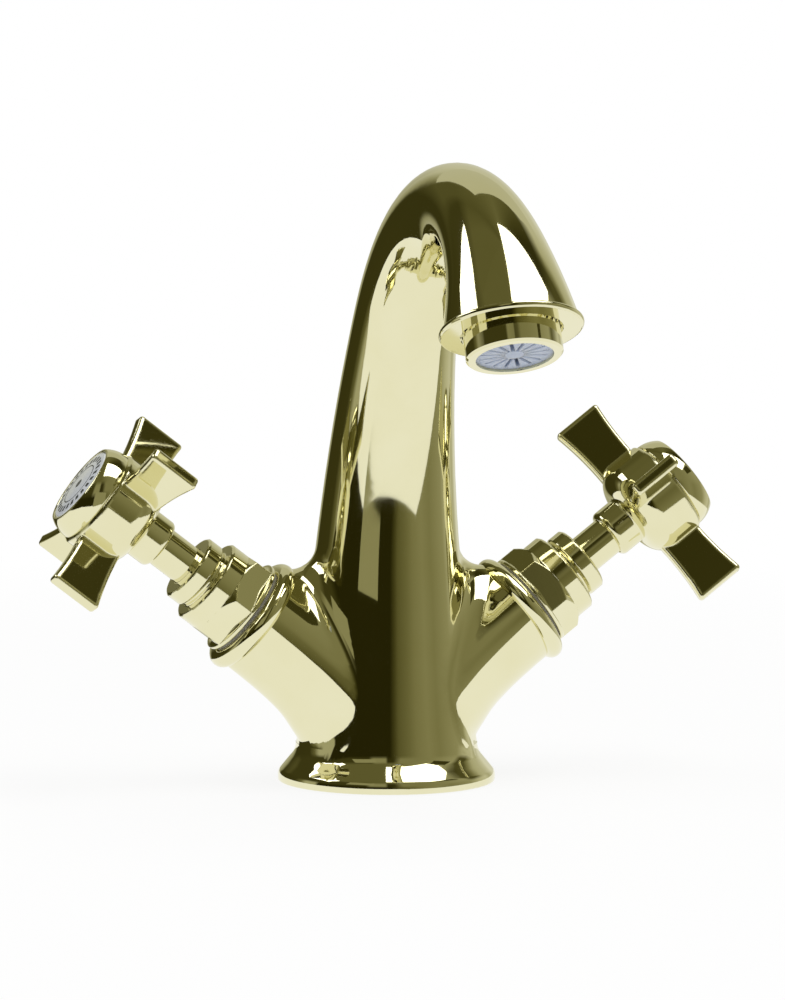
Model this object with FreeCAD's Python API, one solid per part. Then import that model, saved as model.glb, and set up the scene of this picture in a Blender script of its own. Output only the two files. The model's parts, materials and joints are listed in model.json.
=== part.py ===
import FreeCAD, Part
import math
import os

# A one-hole basin mixer with a fixed swan-neck spout and two quarter-turn cross-head valves.
# The origin is the centre of the foot's underside, +Z is up and the spout points to -Y.
# The hot valve is on the -X side and the cold valve on the +X side.
# Driving dimensions are in millimetres and degrees.

# Foot
FOOT_RADIUS = 27.3
FOOT_RIM = 1.5
FOOT_EDGE = 0.5
FOOT_ROUND = 2.6
FOOT_TAPER = 40.0
FOOT_SWEEP = 5.0
FOOT_NECK_RADIUS = 22.8

# Trunk and swan-neck spout
TRUNK_RADIUS = 23.6
TRUNK_FLARE = 1.4
SHOULDER_RADIUS = 19.2
CROWN_RADIUS = 10.0
MOUTH_RADIUS = 15.9
BEND_START = 46.8
LEAN_RADIUS = 158.0
LEAN_TURN = 27.0
CROOK_RADIUS = 47.4
MOUTH_TURN = 156.2
COLUMN_TAPER = 1.435
MOUTH_FLARE = 2.24
MOUTH_RIM_RADIUS = 16.6
MOUTH_RIM = 1.6
MOUTH_RECESS = 1.4
MOUTH_RECESS_GAP = 0.7
SPOUT_WALL = 3.2
WATERWAY_RADIUS = 8.0
SPOUT_SECTIONS = 15
TRUNK_SECTIONS = 4

# Valve arms: the spread is between the centres of their ends, and places are along each valve axis,
# from where it crosses the Z axis
VALVE_TILT = 37.6
AXIS_CROSSING = 15.4
ARM_SPREAD = 73.2
ARM_START = 13.0
ARM_RADIUS = 13.6
ARM_WIDENING = 5.0
WIDENING_LENGTH = 28.0
YOKE_LOW = 8.0
YOKE_TOP = 33.0
ARM_SKIRT = 4.5
SKIRT_PLACE = 15.0
SKIRT_LENGTH = 7.0
ARM_SECTIONS = 12
EGG_POINTS = 16
EGG_NARROWING = 0.2
ARM_BLEND = 7.0
BLEND_RUN_OUT = 16.0
BEAD_RADIUS = 15.3
BEAD_THICKNESS = 4.6

# Waterways and the threaded holes in the underside
CHAMBER_DEPTH = 21.2
CHAMBER_CLEARANCE = 0.25
INLET_SPACING = 19.0
INLET_THREAD_RADIUS = 4.5
INLET_THREAD_DEPTH = 14.0
INLET_BORE_RADIUS = 3.6
MIXING_BORE_RADIUS = 3.0
MIXING_LIFT = 6.0
MIXING_HEIGHT = 52.0
STUD_OFFSET = 12.0
STUD_THREAD_RADIUS = 3.4
STUD_THREAD_DEPTH = 16.0

# Base seal
SEAL_INNER_RADIUS = 19.4
SEAL_WIDTH = 3.4
SEAL_HEIGHT = 2.4
SEAL_CLEARANCE = 0.15

# Bonnet
BONNET_WASHER = 0.8
BONNET_WASHER_RECESS = 0.8
BONNET_THREAD_RADIUS = 10.4
BONNET_THREAD_LENGTH = 9.5
THREAD_RELIEF = 1.0
BONNET_FLANGE_STEP = 2.2
BONNET_FLANGE = 0.9
HEX_FLATS = 21.8
HEX_LENGTH = 6.3
HEX_CHAMFER_ANGLE = 45.0
HEX_COVE = 1.4
HEX_TURN = {"hot": 28.5, "cold": 42.0}
COLLAR_RADIUS = 11.0
COLLAR_LENGTH = 4.8
BONNET_NECK_WALL = 1.0
BONNET_NECK_LENGTH = 1.2
CAGE_WALL = 0.8
CAGE_LIFT = 0.6
CAGE_WINDOW_WIDTH = 9.0
TRIM_EDGE = 0.5

# Gland nut
GLAND_RADIUS = 8.7
GLAND_LENGTH = 4.4
GLAND_THREAD_RADIUS = 7.0
GLAND_THREAD_LENGTH = 6.8
GLAND_POCKET_DEPTH = 9.0

# Spindle and its fittings
SPINDLE_RADIUS = 5.0
SPINDLE_EXPOSED = 8.6
SPINDLE_CLEARANCE = 0.05
SPINDLE_FOOT_RADIUS = 7.0
SPINDLE_FOOT_LENGTH = 3.8
SPINDLE_SHOULDER_DEPTH = 2.0
END_FLOAT = 0.1
BROACH_RADIUS = 4.2
BROACH_FLATS = 6.8
BROACH_LENGTH = 11.0
BROACH_CLEARANCE = 0.05
DRIVE_WIDTH = 4.0
DRIVE_HEIGHT = 1.5
DRIVE_CLEARANCE = 0.1
RING_SECTION_RADIUS = 0.7
RING_GROOVE_WIDTH = 1.6
RING_LIFT = 3.6
RING_SPACING = 4.0
RINGS = 2
CIRCLIP_STAND = 1.4
CIRCLIP_THICKNESS = 1.0
CIRCLIP_GROOVE = 0.9
CIRCLIP_LIFT = 0.3
CIRCLIP_GAP = 3.0

# Ceramic discs and seat seal
DISC_RADIUS = 8.2
DISC_THICKNESS = 3.0
DISC_CLEARANCE = 0.15
PORT_INNER_RADIUS = 2.6
PORT_WIDTH = 3.6
PORT_ANGLE = 70.0
MOVING_DISC_STEP = 0.5
SEAT_SEAL_THICKNESS = 2.0
SEAT_SEAL_WIDTH = 1.8

# Handle
NECK_RADIUS = 6.4
NECK_LENGTH = 6.6
NECK_EDGE = 1.4
HUB_RADIUS = 13.1
HUB_LENGTH = 13.8
HUB_SHOULDER = 5.5
HUB_EDGE = 0.8
BLADE_PLACE = 7.2
BLADE_TIP = 28.2
BLADE_ROOT_WIDTH = 11.2
BLADE_TIP_WIDTH = 13.6
BLADE_WAIST = 0.5
BLADE_THICKNESS = 3.4
BLADE_EDGE = 0.9
BLADES = 4
BLADE_ROOT_DEPTH = 3.0
HANDLE_TURN = {"hot": -56.0, "cold": -24.5}
HANDLE_WEB = 2.4

# Handle screw
SCREW_RADIUS = 2.0
SCREW_LENGTH = 10.0
SCREW_HEAD_RADIUS = 3.6
SCREW_HEAD = 2.4
SCREW_SLOT = 0.9
SCREW_CLEARANCE = 0.2

# Index ring and disc
INDEX_THREAD_RADIUS = 8.0
INDEX_THREAD_LENGTH = 4.0
INDEX_WALL = 1.5
INDEX_LEDGE = 0.7
INDEX_RIM = 0.65
INDEX_LENGTH = 5.1
INDEX_FLOOR = 1.0
INDEX_DISC_RADIUS = 10.0
INDEX_DISC_THICKNESS = 2.2
INDEX_DISC_CROWN = 0.4
INDEX_DISC_CLEARANCE = 0.05

# Aerator, measured along the outlet axis from the mouth's face
AERATOR_THREAD_RADIUS = 9.9
AERATOR_THREAD_LENGTH = 8.0
AERATOR_COLLAR_STEP = 1.2
AERATOR_COLLAR_LENGTH = 6.0
AERATOR_WALL = 0.6
AERATOR_LIP = 0.6
AERATOR_LIP_OVERLAP = 0.4
AERATOR_WASHER = 1.6
AERATOR_WASHER_WIDTH = 2.5
AERATOR_SCREEN = 0.6
INSERT_CLEARANCE = 0.1
INSERT_SPOKES = 16
INSERT_HUB_RADIUS = 2.2
INSERT_RIM = 1.0
INSERT_SLOT_DEPTH = 4.0
INSERT_SLOT_WIDTH = 0.9

ORIGIN = FreeCAD.Vector(0, 0, 0)
X = FreeCAD.Vector(1, 0, 0)
Y = FreeCAD.Vector(0, 1, 0)
Z = FreeCAD.Vector(0, 0, 1)
SIDES = {"hot": -1, "cold": 1}

# Sizes and places along the axes that follow from the ones above
SEAL_OUTER_RADIUS = SEAL_INNER_RADIUS + SEAL_WIDTH
ARM_END = ARM_SPREAD / 2 / math.cos(math.radians(VALVE_TILT))
CHAMBER_FLOOR = ARM_END - CHAMBER_DEPTH
MIXING_PLACE = CHAMBER_FLOOR + MIXING_LIFT
BONNET_SEAT = ARM_END + BONNET_WASHER
BONNET_FLANGE_RADIUS = BONNET_THREAD_RADIUS + BONNET_FLANGE_STEP
HEX_START = BONNET_SEAT + BONNET_FLANGE
HEX_END = HEX_START + HEX_LENGTH
COLLAR_END = HEX_END + COLLAR_LENGTH
BONNET_TOP = COLLAR_END + BONNET_NECK_LENGTH
BONNET_NECK_RADIUS = GLAND_THREAD_RADIUS + BONNET_NECK_WALL
GLAND_TOP = BONNET_TOP + GLAND_LENGTH
HANDLE_BACK = GLAND_TOP + SPINDLE_EXPOSED
HUB_BACK = HANDLE_BACK + NECK_LENGTH
HUB_FRONT = HUB_BACK + HUB_LENGTH
INDEX_FRONT = HUB_FRONT + INDEX_LENGTH
INLET_PLACE = INLET_SPACING / 2 / math.cos(math.radians(VALVE_TILT))
PORT_OUTER_RADIUS = PORT_INNER_RADIUS + PORT_WIDTH
MOVING_DISC_RADIUS = DISC_RADIUS - MOVING_DISC_STEP
SEAT_SEAL_BORE = DISC_RADIUS - SEAT_SEAL_WIDTH
SEAL_TOP = CHAMBER_FLOOR + SEAT_SEAL_THICKNESS
FIXED_DISC_TOP = SEAL_TOP + DISC_THICKNESS
MOVING_DISC_TOP = FIXED_DISC_TOP + DISC_THICKNESS
SPINDLE_FOOT_TOP = MOVING_DISC_TOP + SPINDLE_FOOT_LENGTH
CAGE_CEILING = SPINDLE_FOOT_TOP + END_FLOAT
RING_PLACES = [CAGE_CEILING + RING_LIFT + RING_SPACING * i for i in range(RINGS)]
CAGE_INNER_RADIUS = DISC_RADIUS + DISC_CLEARANCE
CAGE_OUTER_RADIUS = CAGE_INNER_RADIUS + CAGE_WALL
CHAMBER_RADIUS = CAGE_OUTER_RADIUS + CHAMBER_CLEARANCE
POCKET_FLOOR = BONNET_TOP - GLAND_POCKET_DEPTH
CIRCLIP_PLACE = POCKET_FLOOR + CIRCLIP_LIFT
CIRCLIP_RADIUS = SPINDLE_RADIUS + CIRCLIP_STAND
SPINDLE_SHOULDER = HANDLE_BACK + SPINDLE_SHOULDER_DEPTH
SPINDLE_TOP = SPINDLE_SHOULDER + BROACH_LENGTH
SOCKET_TOP = SPINDLE_TOP + BROACH_CLEARANCE
HANDLE_POCKET = SOCKET_TOP + HANDLE_WEB
INDEX_SEAT = INDEX_FRONT - INDEX_DISC_THICKNESS
INDEX_BORE_RADIUS = INDEX_THREAD_RADIUS - INDEX_WALL
INDEX_BASE_RADIUS = HUB_RADIUS - INDEX_LEDGE
INDEX_RECESS_RADIUS = INDEX_DISC_RADIUS + INDEX_DISC_CLEARANCE
INDEX_TOP_RADIUS = INDEX_RECESS_RADIUS + INDEX_RIM
LEAN_LENGTH = LEAN_RADIUS * math.radians(LEAN_TURN)
CROWN_LENGTH = LEAN_LENGTH + CROOK_RADIUS * math.radians(90 - LEAN_TURN)
SPOUT_LENGTH = LEAN_LENGTH + CROOK_RADIUS * math.radians(MOUTH_TURN - LEAN_TURN)
AERATOR_COLLAR_RADIUS = AERATOR_THREAD_RADIUS + AERATOR_COLLAR_STEP
AERATOR_BORE_RADIUS = AERATOR_THREAD_RADIUS - AERATOR_WALL
AERATOR_LIP_RADIUS = AERATOR_BORE_RADIUS - AERATOR_LIP_OVERLAP
AERATOR_WASHER_BORE = AERATOR_THREAD_RADIUS - AERATOR_WASHER_WIDTH
AERATOR_TOP = -MOUTH_RECESS - AERATOR_THREAD_LENGTH
AERATOR_BORE_DEPTH = AERATOR_WASHER - AERATOR_TOP


def point(radius, height):
    return FreeCAD.Vector(radius, 0, height)


def turned(*outline):
    """Solid of revolution about Z. The outline has (radius, height) points; a pair of points is an arc."""
    edges = []
    here = outline[0]
    for step in outline[1:] + outline[:1]:
        if isinstance(step[0], tuple):
            middle, there = step
            edges.append(Part.Arc(point(*here), point(*middle), point(*there)).toShape())
        else:
            there = step
            edges.append(Part.LineSegment(point(*here), point(*there)).toShape())
        here = there
    return Part.Face(Part.Wire(edges)).revolve(ORIGIN, Z, 360)


def rod(radius, low, high):
    return Part.makeCylinder(radius, high - low, FreeCAD.Vector(0, 0, low))


def tube(outer, inner, low, high):
    return rod(outer, low, high).cut(rod(inner, low, high))


def on_valve(shape, side):
    """Carry a shape made along Z onto the hot or cold valve axis."""
    turn = FreeCAD.Rotation(Y, SIDES[side] * (90 - VALVE_TILT))
    placed = shape.copy()
    placed.Placement = FreeCAD.Placement(FreeCAD.Vector(0, 0, AXIS_CROSSING), turn)
    return placed


def at_mouth(shape):
    """Carry a shape made along Z onto the outlet axis, with Z = 0 on the mouth's face."""
    centre, turn = spout_station(SPOUT_LENGTH)
    placed = shape.copy()
    placed.Placement = FreeCAD.Placement(centre, FreeCAD.Rotation(X, turn))
    return placed


def spout_station(length):
    """Centre and forward turn of the spout's centre line at a length past the start of the bend."""
    lean = min(math.degrees(length / LEAN_RADIUS), LEAN_TURN)
    y = -LEAN_RADIUS * (1 - math.cos(math.radians(lean)))
    z = BEND_START + LEAN_RADIUS * math.sin(math.radians(lean))
    turn = lean
    if length > LEAN_LENGTH:
        turn = LEAN_TURN + math.degrees((length - LEAN_LENGTH) / CROOK_RADIUS)
        y -= CROOK_RADIUS * (math.cos(math.radians(LEAN_TURN)) - math.cos(math.radians(turn)))
        z += CROOK_RADIUS * (math.sin(math.radians(turn)) - math.sin(math.radians(LEAN_TURN)))
    return FreeCAD.Vector(0, y, z), turn


def spout_radius(length):
    """The column tapers up to the crown, and from there the spout flares to its mouth."""
    if length < CROWN_LENGTH:
        share = (1 - length / CROWN_LENGTH) ** COLUMN_TAPER
        return CROWN_RADIUS + (SHOULDER_RADIUS - CROWN_RADIUS) * share
    share = ((length - CROWN_LENGTH) / (SPOUT_LENGTH - CROWN_LENGTH)) ** MOUTH_FLARE
    return CROWN_RADIUS + (MOUTH_RADIUS - CROWN_RADIUS) * share


def section(radius, centre, turn):
    """A circle across the spout, with its start at the back so that the seam stays there."""
    circle = Part.Wire(Part.makeCircle(radius))
    forward = FreeCAD.Rotation(X, turn).multiply(FreeCAD.Rotation(Z, 90))
    circle.Placement = FreeCAD.Placement(centre, forward)
    return circle


def trunk_and_spout():
    sections = []
    for i in range(TRUNK_SECTIONS):
        height = BEND_START - (BEND_START + BLEND_RUN_OUT) * (1 - i / TRUNK_SECTIONS)
        share = (BEND_START - height) / (BEND_START - FOOT_RIM)
        radius = SHOULDER_RADIUS + (TRUNK_RADIUS - SHOULDER_RADIUS) * share ** TRUNK_FLARE
        sections.append(section(radius, FreeCAD.Vector(0, 0, height), 0))
    for i in range(SPOUT_SECTIONS):
        length = SPOUT_LENGTH * i / (SPOUT_SECTIONS - 1)
        sections.append(section(spout_radius(length), *spout_station(length)))
    return Part.makeLoft(sections, True)


def waterway():
    sections = []
    last = SPOUT_LENGTH + AERATOR_TOP
    for i in range(SPOUT_SECTIONS):
        length = last * i / (SPOUT_SECTIONS - 1)
        radius = min(spout_radius(length) - SPOUT_WALL, WATERWAY_RADIUS)
        sections.append(section(radius, *spout_station(length)))
    return Part.makeLoft(sections, True)


def egg(low, high, half_width):
    """An egg-shaped outline between a low and a high point of the XZ plane, with a half width
    along Y. It is narrower towards the low point."""
    points = []
    for i in range(EGG_POINTS):
        turn = 2 * math.pi * i / EGG_POINTS
        width = half_width * (1 - EGG_NARROWING * max(math.cos(turn), 0) ** 2)
        points.append((low + high + (low - high) * math.cos(turn)) * 0.5 + Y * width * math.sin(turn))
    curve = Part.BSplineCurve()
    curve.interpolate(Points=points, PeriodicFlag=True)
    return Part.Wire(curve.toShape())


def arm(end):
    """The cold arm along Z, from the tap's middle plane, where it is nearly as thick as the trunk.
    Its lower side, towards +X, flares out to meet the foot."""
    tilt = math.radians(VALVE_TILT)
    upright = FreeCAD.Vector(-math.cos(tilt), 0, math.sin(tilt))
    low = upright * (YOKE_LOW - AXIS_CROSSING)
    high = upright * (YOKE_TOP - AXIS_CROSSING)
    sections = [egg(low, high, ARM_RADIUS + ARM_WIDENING)]
    for i in range(ARM_SECTIONS):
        place = ARM_START + (end - ARM_START) * i / (ARM_SECTIONS - 1)
        flare = ARM_SKIRT * math.exp((SKIRT_PLACE - place) / SKIRT_LENGTH)
        widening = ARM_WIDENING * math.exp(-((place / WIDENING_LENGTH) ** 2))
        low = FreeCAD.Vector(ARM_RADIUS + flare, 0, place)
        high = FreeCAD.Vector(-ARM_RADIUS, 0, place)
        sections.append(egg(low, high, ARM_RADIUS + widening))
    return Part.makeLoft(sections, True)


def round_edged_disc(radius, low, high):
    flat = radius - (high - low) / 2
    return turned((0, low), (flat, low), ((radius, (low + high) / 2), (flat, high)), (0, high))


def bead():
    """The rounded ring that ends each arm, as a disc with a half-round edge."""
    return round_edged_disc(BEAD_RADIUS, ARM_END - BEAD_THICKNESS, ARM_END)


def mouth_rim():
    """The thin rounded rim that finishes the spout's mouth."""
    return round_edged_disc(MOUTH_RIM_RADIUS, -MOUTH_RIM, 0)


def foot():
    """A round-edged flange that sweeps up to the trunk in an ogee."""
    slope = math.radians(FOOT_TAPER)
    round_out = FOOT_RADIUS - FOOT_ROUND * (1 - math.cos(slope))
    round_top = FOOT_RIM + FOOT_ROUND * math.sin(slope)
    sweep_out = FOOT_NECK_RADIUS + FOOT_SWEEP * (1 - math.cos(slope))
    sweep_start = round_top + (round_out - sweep_out) / math.tan(slope)
    top = sweep_start + FOOT_SWEEP * math.sin(slope)
    round_middle = (
        FOOT_RADIUS - FOOT_ROUND * (1 - math.cos(slope / 2)),
        FOOT_RIM + FOOT_ROUND * math.sin(slope / 2),
    )
    sweep_middle = (
        FOOT_NECK_RADIUS + FOOT_SWEEP * (1 - math.cos(slope / 2)),
        top - FOOT_SWEEP * math.sin(slope / 2),
    )
    solid = turned(
        (0, 0),
        (FOOT_RADIUS, 0),
        (FOOT_RADIUS, FOOT_RIM),
        (round_middle, (round_out, round_top)),
        (sweep_out, sweep_start),
        (sweep_middle, (FOOT_NECK_RADIUS, top)),
        (0, top),
    )
    rims = [edge for edge in solid.Edges if edge.isClosed() and edge.BoundBox.ZMax < FOOT_RIM / 2]
    return solid.makeFillet(FOOT_EDGE, rims)


def along_valve(place):
    """Distance of a point along the valve axis of its own side."""
    tilt = math.radians(VALVE_TILT)
    return abs(place.x) * math.cos(tilt) + (place.z - AXIS_CROSSING) * math.sin(tilt)


def valve_point(side, place):
    tilt = math.radians(VALVE_TILT)
    return FreeCAD.Vector(SIDES[side] * place * math.cos(tilt), 0, AXIS_CROSSING + place * math.sin(tilt))


def body_casting():
    run_out = on_valve(arm(ARM_END + BLEND_RUN_OUT), "cold")
    shape = trunk_and_spout().fuse([run_out, run_out.mirror(ORIGIN, X)])
    joins = []
    for edge in shape.Edges:
        off_centre = abs(edge.CenterOfMass.x) > SHOULDER_RADIUS / 2
        if edge.isClosed() and off_centre and along_valve(edge.CenterOfMass) < ARM_END:
            joins.append(edge)
    shape = shape.makeFillet(ARM_BLEND, joins)
    shape = shape.cut(rod(FOOT_RADIUS, -2 * BLEND_RUN_OUT, FOOT_RIM))
    trims = rod(ARM_RADIUS + ARM_BLEND, ARM_END - BEAD_THICKNESS / 2, ARM_END + 2 * BLEND_RUN_OUT)
    shape = shape.cut([on_valve(trims, side) for side in SIDES])
    shape = shape.fuse([foot(), at_mouth(mouth_rim())] + [on_valve(bead(), side) for side in SIDES])

    groove = tube(SEAL_OUTER_RADIUS + SEAL_CLEARANCE, SEAL_INNER_RADIUS - SEAL_CLEARANCE, 0, SEAL_HEIGHT)
    stud = rod(STUD_THREAD_RADIUS, 0, STUD_THREAD_DEPTH)
    stud.translate(FreeCAD.Vector(0, STUD_OFFSET, 0))
    outlet = rod(AERATOR_THREAD_RADIUS, -AERATOR_BORE_DEPTH, AERATOR_COLLAR_LENGTH)
    recess = rod(AERATOR_COLLAR_RADIUS + MOUTH_RECESS_GAP, -MOUTH_RECESS, AERATOR_COLLAR_LENGTH)
    outlet = at_mouth(outlet.fuse(recess))
    cuts = [groove, stud, waterway(), outlet]
    for side in SIDES:
        thread_floor = ARM_END - BONNET_THREAD_LENGTH - THREAD_RELIEF
        chamber = rod(BONNET_THREAD_RADIUS, thread_floor, ARM_END).fuse(
            [
                rod(CHAMBER_RADIUS, CHAMBER_FLOOR, ARM_END),
                rod(INLET_BORE_RADIUS, INLET_PLACE, ARM_END),
            ]
        )
        cuts.append(on_valve(chamber, side))
        elbow = valve_point(side, INLET_PLACE)
        inlet = rod(INLET_THREAD_RADIUS, 0, INLET_THREAD_DEPTH).fuse(
            rod(INLET_BORE_RADIUS, 0, elbow.z + INLET_BORE_RADIUS)
        )
        inlet.translate(FreeCAD.Vector(elbow.x, 0, 0))
        cuts.append(inlet)
        start = valve_point(side, MIXING_PLACE)
        run = FreeCAD.Vector(0, 0, MIXING_HEIGHT) - start
        cuts.append(Part.makeCylinder(MIXING_BORE_RADIUS, run.Length, start, run))
    return shape.cut(cuts)


def base_seal():
    return tube(SEAL_OUTER_RADIUS, SEAL_INNER_RADIUS, 0, SEAL_HEIGHT)


def hexagon(side):
    """The spanner hexagon, with its corners chamfered off towards the collar."""
    corner = HEX_FLATS / math.sqrt(3)
    corners = []
    for i in range(7):
        turn = math.radians(60 * i + HEX_TURN[side])
        corners.append(FreeCAD.Vector(corner * math.cos(turn), corner * math.sin(turn), HEX_START))
    prism = Part.Face(Part.makePolygon(corners)).extrude(Z * HEX_LENGTH)
    drop = (corner - COLLAR_RADIUS) * math.tan(math.radians(HEX_CHAMFER_ANGLE))
    cone = turned(
        (0, HEX_START),
        (corner, HEX_START),
        (corner, HEX_END - drop),
        (COLLAR_RADIUS, HEX_END),
        (0, HEX_END),
    )
    return prism.common(cone).cut(rod(GLAND_THREAD_RADIUS, HEX_START, HEX_END))


def bonnet(side):
    bore = SPINDLE_RADIUS + SPINDLE_CLEARANCE
    cage_start = CHAMBER_FLOOR + CAGE_LIFT
    thread_start = ARM_END - BONNET_THREAD_LENGTH
    cove_end = HEX_START + HEX_COVE
    hex_core = HEX_FLATS / 2 - TRIM_EDGE
    cove_depth = BONNET_FLANGE_RADIUS - hex_core
    cove_middle = (
        BONNET_FLANGE_RADIUS - cove_depth * math.sin(math.radians(45)),
        HEX_START + HEX_COVE * (1 - math.cos(math.radians(45))),
    )
    shape = turned(
        (CAGE_INNER_RADIUS, cage_start),
        (CAGE_OUTER_RADIUS, cage_start),
        (CAGE_OUTER_RADIUS, thread_start),
        (BONNET_THREAD_RADIUS, thread_start),
        (BONNET_THREAD_RADIUS, BONNET_SEAT),
        (BONNET_FLANGE_RADIUS, BONNET_SEAT),
        (BONNET_FLANGE_RADIUS, HEX_START),
        (cove_middle, (hex_core, cove_end)),
        (hex_core, HEX_END),
        (COLLAR_RADIUS, HEX_END),
        (COLLAR_RADIUS, COLLAR_END - TRIM_EDGE),
        (COLLAR_RADIUS - TRIM_EDGE, COLLAR_END),
        (BONNET_NECK_RADIUS, COLLAR_END),
        (BONNET_NECK_RADIUS, BONNET_TOP),
        (GLAND_THREAD_RADIUS, BONNET_TOP),
        (GLAND_THREAD_RADIUS, POCKET_FLOOR),
        (bore, POCKET_FLOOR),
        (bore, CAGE_CEILING),
        (CAGE_INNER_RADIUS, CAGE_CEILING),
    )
    window = Part.makeBox(
        CAGE_WINDOW_WIDTH,
        2 * CHAMBER_RADIUS,
        thread_start - FIXED_DISC_TOP,
        FreeCAD.Vector(-CAGE_WINDOW_WIDTH / 2, -CHAMBER_RADIUS, FIXED_DISC_TOP),
    )
    window = window.cut(rod(CAGE_INNER_RADIUS, FIXED_DISC_TOP, thread_start))
    shape = shape.fuse(hexagon(side)).cut(window)
    return on_valve(shape.removeSplitter(), side)


def bonnet_washer(side):
    radius = BONNET_FLANGE_RADIUS - BONNET_WASHER_RECESS
    return on_valve(tube(radius, BONNET_THREAD_RADIUS, ARM_END, BONNET_SEAT), side)


def gland_nut(side):
    bore = SPINDLE_RADIUS + SPINDLE_CLEARANCE
    shape = turned(
        (bore, BONNET_TOP - GLAND_THREAD_LENGTH),
        (GLAND_THREAD_RADIUS, BONNET_TOP - GLAND_THREAD_LENGTH),
        (GLAND_THREAD_RADIUS, BONNET_TOP),
        (GLAND_RADIUS - TRIM_EDGE, BONNET_TOP),
        (GLAND_RADIUS, BONNET_TOP + TRIM_EDGE),
        (GLAND_RADIUS, GLAND_TOP - TRIM_EDGE),
        (GLAND_RADIUS - TRIM_EDGE, GLAND_TOP),
        (bore, GLAND_TOP),
    )
    return on_valve(shape, side)


def seat_seal(side):
    return on_valve(tube(DISC_RADIUS, SEAT_SEAL_BORE, CHAMBER_FLOOR, SEAL_TOP), side)


def ports(low, high, turn):
    """Two opposite sector-shaped waterways through a ceramic disc."""
    corners = [
        point(PORT_INNER_RADIUS, low),
        point(PORT_OUTER_RADIUS, low),
        point(PORT_OUTER_RADIUS, high),
        point(PORT_INNER_RADIUS, high),
        point(PORT_INNER_RADIUS, low),
    ]
    face = Part.Face(Part.makePolygon(corners))
    sectors = []
    for half in (0, 180):
        sector = face.revolve(ORIGIN, Z, PORT_ANGLE)
        sector.rotate(ORIGIN, Z, turn + half - PORT_ANGLE / 2)
        sectors.append(sector)
    return sectors


def fixed_disc(side):
    shape = rod(DISC_RADIUS, SEAL_TOP, FIXED_DISC_TOP).cut(ports(SEAL_TOP, FIXED_DISC_TOP, 90))
    return on_valve(shape, side)


def drive_bar(clearance):
    """A bar across the axis under the spindle's foot: its tongue, or with a clearance the disc's slot."""
    width = DRIVE_WIDTH + 2 * clearance
    height = DRIVE_HEIGHT + clearance
    corner = FreeCAD.Vector(-width / 2, -DISC_RADIUS, MOVING_DISC_TOP - height)
    return Part.makeBox(width, 2 * DISC_RADIUS, height, corner)


def moving_disc(side):
    shape = rod(MOVING_DISC_RADIUS, FIXED_DISC_TOP, MOVING_DISC_TOP)
    slot = drive_bar(DRIVE_CLEARANCE)
    shape = shape.cut(ports(FIXED_DISC_TOP, MOVING_DISC_TOP, 0) + [slot])
    return on_valve(shape, side)


def broach(clearance, low, high):
    """The double-flatted top of the spindle, or with a clearance the handle's socket for it."""
    flats = BROACH_FLATS + 2 * clearance
    radius = BROACH_RADIUS + clearance
    slab = Part.makeBox(2 * radius, flats, high - low, FreeCAD.Vector(-radius, -flats / 2, low))
    return rod(radius, low, high).common(slab)


def ring_grooves():
    low = SPINDLE_RADIUS - 2 * RING_SECTION_RADIUS
    half = RING_GROOVE_WIDTH / 2
    return [tube(SPINDLE_RADIUS, low, place - half, place + half) for place in RING_PLACES]


def spindle(side):
    foot_column = rod(SPINDLE_FOOT_RADIUS, FIXED_DISC_TOP, MOVING_DISC_TOP)
    tongue = drive_bar(0).common(foot_column)
    shape = rod(SPINDLE_FOOT_RADIUS, MOVING_DISC_TOP, SPINDLE_FOOT_TOP).fuse(
        [
            tongue,
            rod(SPINDLE_RADIUS, SPINDLE_FOOT_TOP, SPINDLE_SHOULDER),
            broach(0, SPINDLE_SHOULDER, SPINDLE_TOP),
        ]
    )
    clip_groove = tube(
        SPINDLE_RADIUS,
        SPINDLE_RADIUS - CIRCLIP_GROOVE,
        CIRCLIP_PLACE,
        CIRCLIP_PLACE + CIRCLIP_THICKNESS,
    )
    tapping = rod(SCREW_RADIUS, SPINDLE_TOP - SCREW_LENGTH, SPINDLE_TOP)
    return on_valve(shape.cut(ring_grooves() + [clip_groove, tapping]).removeSplitter(), side)


def spindle_rings(side):
    major = SPINDLE_RADIUS - RING_SECTION_RADIUS
    rings = [Part.makeTorus(major, RING_SECTION_RADIUS, FreeCAD.Vector(0, 0, place)) for place in RING_PLACES]
    return on_valve(Part.makeCompound(rings), side)


def circlip(side):
    top = CIRCLIP_PLACE + CIRCLIP_THICKNESS
    shape = tube(CIRCLIP_RADIUS, SPINDLE_RADIUS - CIRCLIP_GROOVE, CIRCLIP_PLACE, top)
    gap = Part.makeBox(
        CIRCLIP_RADIUS,
        CIRCLIP_GAP,
        CIRCLIP_THICKNESS,
        FreeCAD.Vector(0, -CIRCLIP_GAP / 2, CIRCLIP_PLACE),
    )
    return on_valve(shape.cut(gap), side)


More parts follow.
